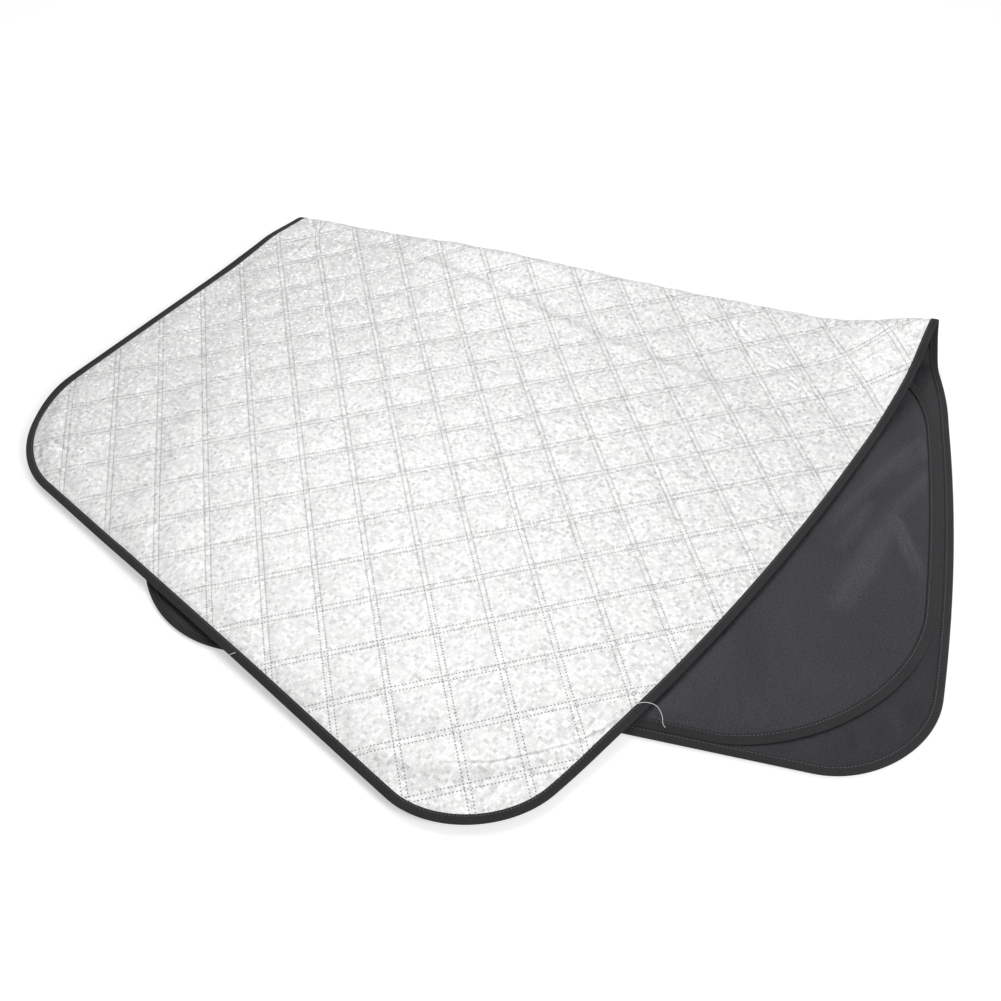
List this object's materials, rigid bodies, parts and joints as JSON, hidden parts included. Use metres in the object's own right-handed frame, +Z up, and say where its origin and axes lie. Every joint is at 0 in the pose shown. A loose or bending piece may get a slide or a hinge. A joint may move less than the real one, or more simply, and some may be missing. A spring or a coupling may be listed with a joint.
{
  "type": "windshield sun shade",
  "caption": "Quilted foil windshield cover with dark lining, bound edges and turned-in side wings, folded in half and laid flat.",
  "frame": {"origin": "middle of the floor area that the folded shade covers, on the floor", "axes": "+X along the fold towards its open-looped end at the lower edge, +Y square to the fold and towards it, +Z up through the layers, with the foil of the front half facing up"},
  "size_m": [1.0732, 0.7844, 0.0643],
  "materials": {
    "foil": "silver mosaic film over wadding, quilted in diamonds with double dotted seams",
    "lining_cloth": "plain black taffeta with a soft sheen",
    "wing_cloth": "smooth black taffeta with a soft sheen",
    "binding_tape": "matte black woven binding tape, topstitched"
  },
  "bodies": {
    "root": {"quilted_panel": "foil", "lining": "lining_cloth", "edge_binding": "binding_tape", "front_wing": "wing_cloth", "front_wing_binding": "binding_tape", "back_wing": "wing_cloth", "back_wing_binding": "binding_tape"}
  },
  "joints": []
}
